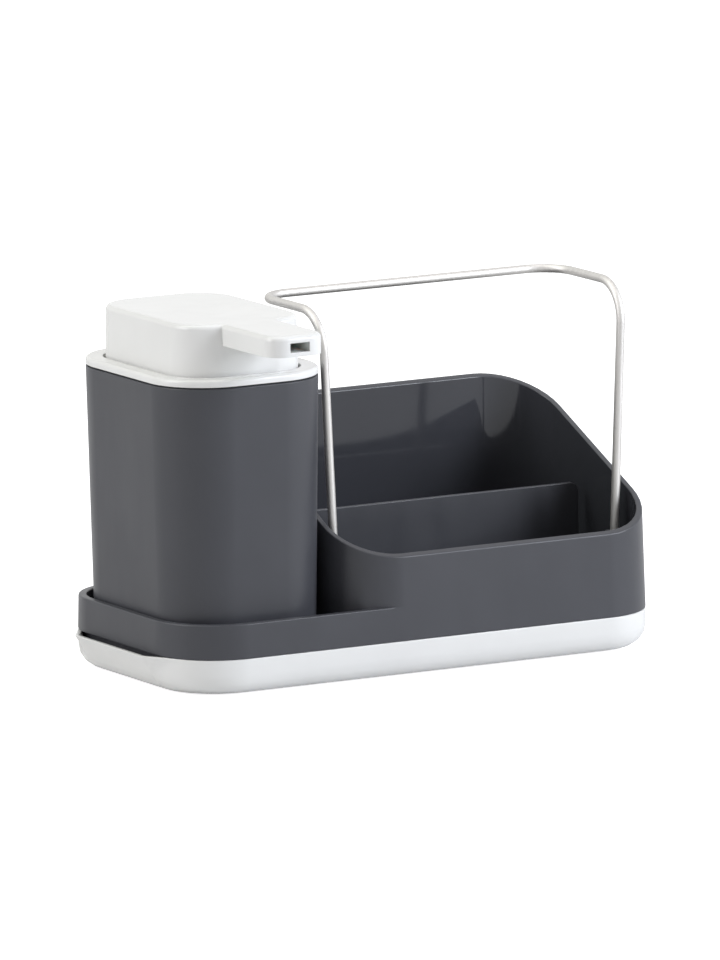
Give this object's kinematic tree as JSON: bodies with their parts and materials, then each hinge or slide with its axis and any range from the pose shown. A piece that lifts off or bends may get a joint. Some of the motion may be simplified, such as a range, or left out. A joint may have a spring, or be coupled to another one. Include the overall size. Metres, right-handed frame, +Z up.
{
  "type": "soap pump caddy",
  "caption": "Sink caddy with a pump bottle in a low-walled bay, a slope-rimmed basket with a divider and a wire towel bar, standing on a drip tray with a pouring lip.",
  "frame": {"origin": "on the flat underside of the drip tray, under the middle of the caddy's bottom edge", "axes": "+X along the length from the bottle to the basket, +Y to the high back of the basket, +Z up"},
  "size_m": [0.2267, 0.1359, 0.146],
  "materials": {
    "graphite_plastic": "satin",
    "white_plastic": "gloss",
    "natural_plastic": "satin",
    "steel_wire": "satin",
    "spring_steel": "satin",
    "valve_steel": "polished",
    "dark_rubber": "matte"
  },
  "bodies": {
    "tray": {"drip_tray": "white_plastic"},
    "caddy": {"caddy_body": "graphite_plastic"},
    "divider_plate": {"divider": "graphite_plastic"},
    "bar": {"towel_bar": "steel_wire"},
    "bottle": {"bottle_shell": "graphite_plastic"},
    "lid_and_pump": {"bottle_lid": "white_plastic", "lid_seal": "dark_rubber", "cylinder_gasket": "dark_rubber", "pump_cylinder": "natural_plastic", "lock_nut": "natural_plastic", "stem_guide": "white_plastic", "inlet_ball": "valve_steel", "dip_tube": "natural_plastic", "return_spring": "spring_steel"},
    "head": {"pump_head": "white_plastic", "spout_channel": "natural_plastic", "pump_stem": "natural_plastic", "piston_seal": "dark_rubber", "outlet_ball": "valve_steel"}
  },
  "joints": [
    {"name": "caddy_lift", "type": "slide", "parent": "tray", "child": "caddy", "axis": [0, 0, 1], "range_m": [0, 0.05]},
    {"name": "divider_lift", "type": "slide", "parent": "caddy", "child": "divider_plate", "axis": [0, 0, 1], "range_m": [0, 0.045]},
    {"name": "bar_lift", "type": "slide", "parent": "caddy", "child": "bar", "axis": [0, 0, 1], "range_m": [0, 0.03]},
    {"name": "bottle_lift", "type": "slide", "parent": "caddy", "child": "bottle", "axis": [0, 0, 1], "range_m": [0, 0.06]},
    {"name": "lid_lift", "type": "slide", "parent": "bottle", "child": "lid_and_pump", "axis": [0, 0, 1], "range_m": [0, 0.11]},
    {"name": "pump_press", "type": "slide", "parent": "lid_and_pump", "child": "head", "axis": [0, 0, 1], "range_m": [-0.0105, 0], "stiffness_N_per_m": 300, "springref_m": 0.005, "deforming": ["return_spring"]}
  ]
}
